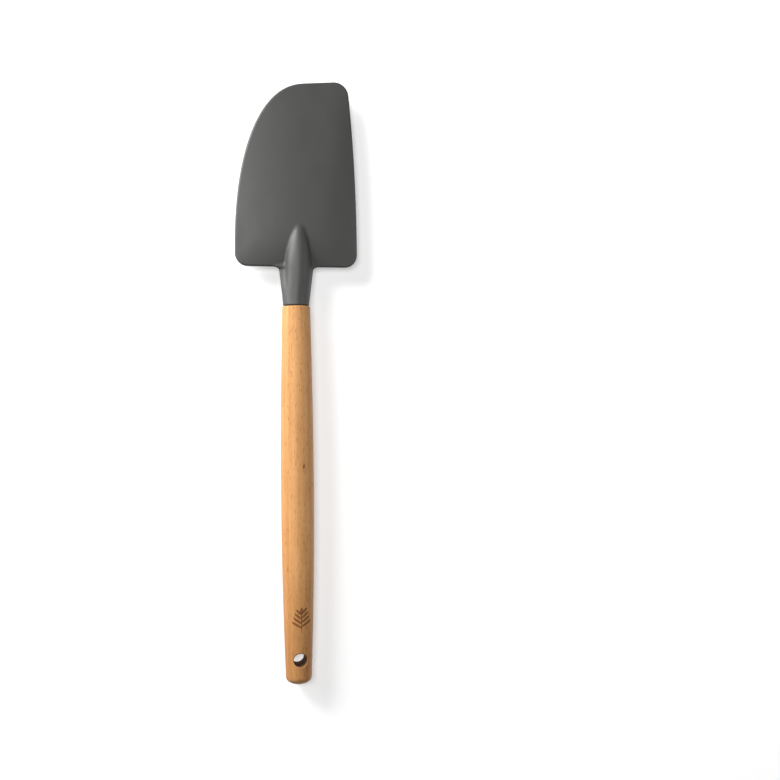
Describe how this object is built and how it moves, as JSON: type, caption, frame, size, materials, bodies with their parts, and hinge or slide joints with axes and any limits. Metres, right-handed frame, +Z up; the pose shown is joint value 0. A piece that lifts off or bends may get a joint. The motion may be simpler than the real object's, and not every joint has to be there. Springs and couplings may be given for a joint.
{
  "type": "silicone spatula",
  "caption": "Flat silicone scraping spatula with one long curved side, a bullet-shaped spine, and a turned wooden handle with a hanging hole; the head pulls off the handle's tenon.",
  "frame": {"origin": "under the middle of the bounding box, on the surface that the spatula lies on", "axes": "+Y along the handle towards the blade's tip, +X across the blade towards its nearly straight side, +Z up through the blade's thickness"},
  "size_m": [0.0652, 0.3198, 0.0174],
  "materials": {
    "silicone": "matte",
    "nylon": "matte",
    "beech": "satin"
  },
  "bodies": {
    "handle": {"handle": "beech"},
    "head": {"silicone_head": "silicone", "nylon_core": "nylon"}
  },
  "joints": [
    {"name": "head_pull", "type": "slide", "parent": "handle", "child": "head", "axis": [0, 1, 0], "range_m": [0, 0.04]}
  ]
}
